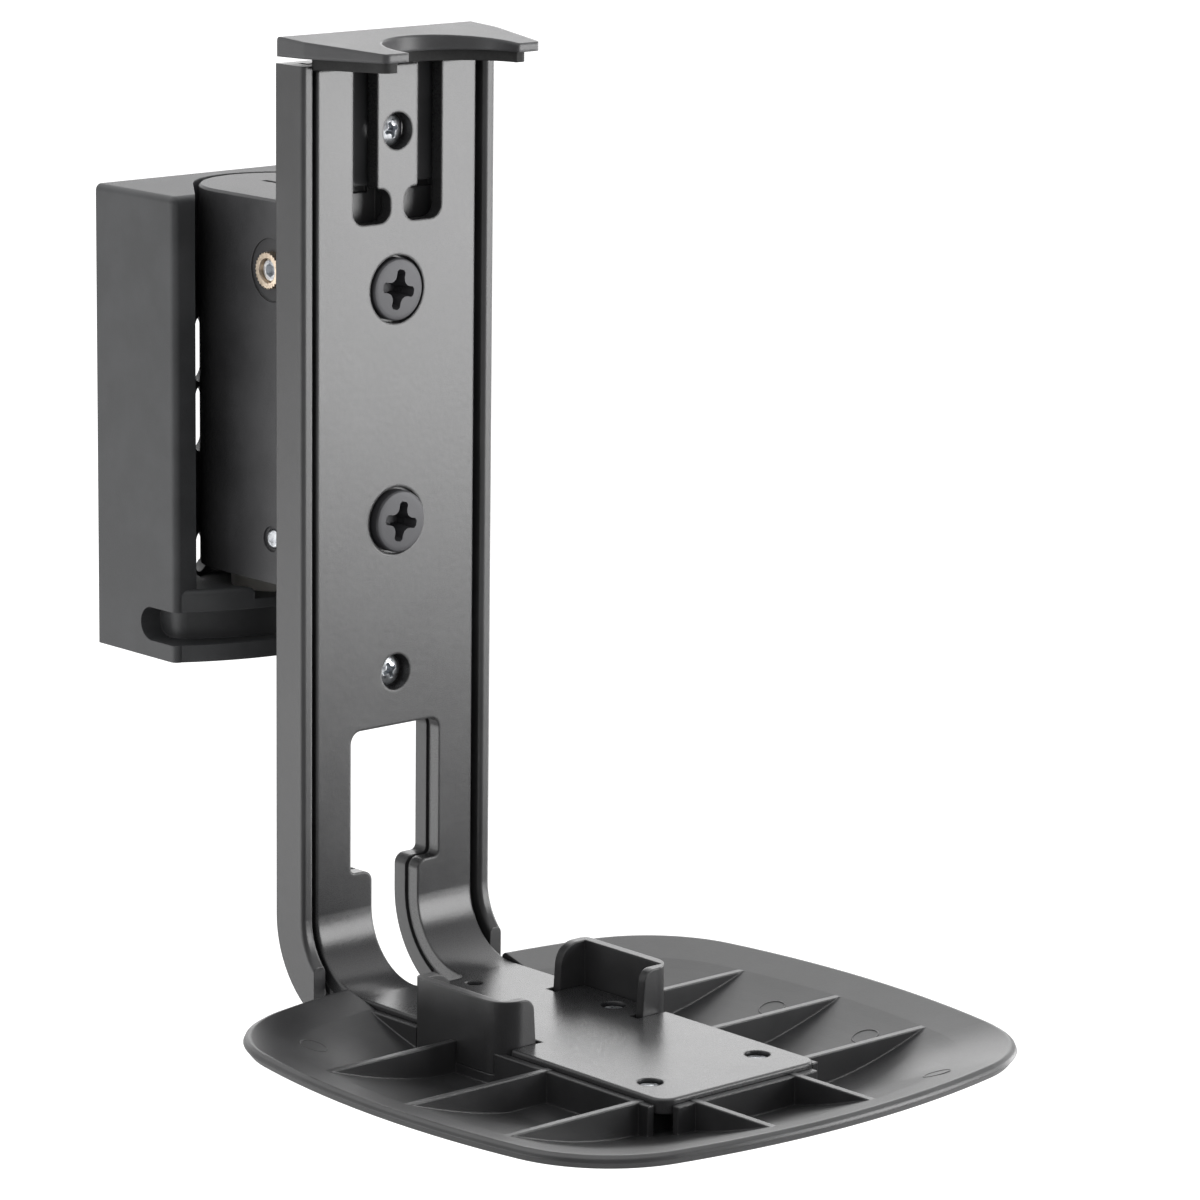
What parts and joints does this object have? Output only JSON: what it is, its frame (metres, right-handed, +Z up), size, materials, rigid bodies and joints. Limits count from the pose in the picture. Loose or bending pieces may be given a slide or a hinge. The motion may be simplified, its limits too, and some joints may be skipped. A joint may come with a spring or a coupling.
{
  "type": "speaker wall bracket",
  "caption": "Wall bracket for a compact speaker: housing with swivel block, tilting L-shaped arm, ribbed tray and sliding top cap.",
  "frame": {"origin": "on the wall face, midway between the two wall screws", "axes": "+Z up, +Y into the wall, +X to the right of someone who faces the bracket; the speaker side is towards -Y"},
  "size_m": [0.1338, 0.1965, 0.2029],
  "materials": {
    "coated_steel": "satin black powder coat over folded steel sheet",
    "coated_screw": "satin black coated screw heads",
    "bare_steel": "bright turned steel",
    "zinc_steel": "zinc plated steel",
    "insert_brass": "serrated brass, dulled",
    "housing_plastic": "smooth satin dark grey moulding",
    "block_plastic": "finely textured dark grey moulding",
    "shell_plastic": "satin black moulding",
    "cap_plastic": "satin black moulding with fine grain",
    "tray_plastic": "satin black moulding",
    "bush_plastic": "slippery dark plastic",
    "pad_rubber": "soft black rubber"
  },
  "bodies": {
    "wall": {"wall_plate": "coated_steel", "wall_housing": "housing_plastic", "housing_screw_1": "zinc_steel", "housing_screw_2": "zinc_steel", "housing_screw_3": "zinc_steel", "housing_screw_4": "zinc_steel", "swivel_post": "bare_steel", "post_nut": "zinc_steel", "swivel_bush": "bush_plastic"},
    "swivel": {"swivel_block": "block_plastic", "lock_insert_left": "insert_brass", "lock_insert_right": "insert_brass", "lock_screw_left": "zinc_steel", "lock_screw_right": "zinc_steel", "tilt_pin_left": "bare_steel", "tilt_pin_right": "bare_steel"},
    "arm": {"tilt_carrier": "coated_steel", "carrier_nut_lower": "zinc_steel", "carrier_nut_upper": "zinc_steel", "arm_shell": "shell_plastic", "arm_plate": "coated_steel", "arm_bolt_lower": "coated_screw", "arm_bolt_upper": "coated_screw", "shell_screw_lower": "zinc_steel", "shell_screw_upper": "zinc_steel", "tray": "tray_plastic", "tray_clip_left": "tray_plastic", "tray_clip_right": "tray_plastic", "tray_screw_1": "zinc_steel", "tray_screw_2": "zinc_steel", "tray_screw_3": "zinc_steel", "tray_screw_4": "zinc_steel", "tray_screw_5": "zinc_steel", "tray_screw_6": "zinc_steel"},
    "cap": {"top_cap": "cap_plastic", "cap_pad": "pad_rubber"}
  },
  "joints": [
    {"name": "swivel_turn", "type": "hinge", "parent": "wall", "child": "swivel", "pos_m": [0, -0.022, 0], "axis": [0, 0, 1], "range_deg": [-35, 35]},
    {"name": "arm_tilt", "type": "hinge", "parent": "swivel", "child": "arm", "pos_m": [0, -0.04, -0.03045], "axis": [1, 0, 0], "range_deg": [-4, 4]},
    {"name": "cap_slide", "type": "slide", "parent": "arm", "child": "cap", "axis": [0, 0, 1], "range_m": [-0.001, 0.014]}
  ]
}
